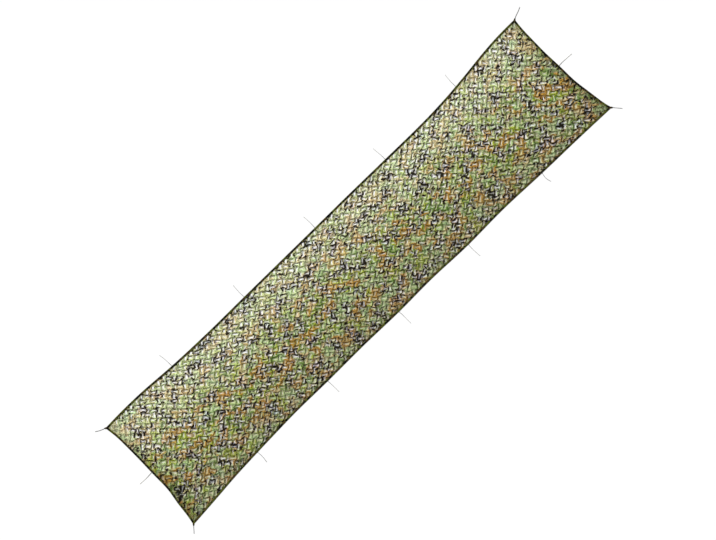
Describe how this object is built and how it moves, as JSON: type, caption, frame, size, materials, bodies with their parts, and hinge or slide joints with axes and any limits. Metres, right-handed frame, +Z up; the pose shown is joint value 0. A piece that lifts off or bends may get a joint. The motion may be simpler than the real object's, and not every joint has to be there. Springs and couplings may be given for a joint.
{
  "type": "camouflage net",
  "caption": "Long rectangular camouflage net of slit cloth, pulled out flat, with folded edge tapes and short tie cords round its edge.",
  "frame": {"origin": "middle of the net's underside, on the ground that it lies on", "axes": "+X along the net's length, +Y across its width, +Z up out of the cloth"},
  "size_m": [6.2622, 1.6084, 0.004],
  "materials": {
    "cloth": "matt printed polyester cloth in mottled greens, tan, orange brown and near black",
    "edge_tape": "matt dark olive woven tape",
    "tie_cord": "dark grey braided polyester cord"
  },
  "bodies": {
    "root": {"net_panel": "cloth", "tape_right": "edge_tape", "tape_near": "edge_tape", "tape_left": "edge_tape", "tape_far": "edge_tape", "tie_far_1": "tie_cord", "tie_far_2": "tie_cord", "tie_far_3": "tie_cord", "tie_far_4": "tie_cord", "tie_far_5": "tie_cord", "tie_right": "tie_cord", "tie_near_5": "tie_cord", "tie_near_4": "tie_cord", "tie_near_3": "tie_cord", "tie_near_2": "tie_cord", "tie_near_1": "tie_cord", "tie_left": "tie_cord", "tie_far_right": "tie_cord", "tie_near_right": "tie_cord", "tie_near_left": "tie_cord", "tie_far_left": "tie_cord"}
  },
  "joints": []
}
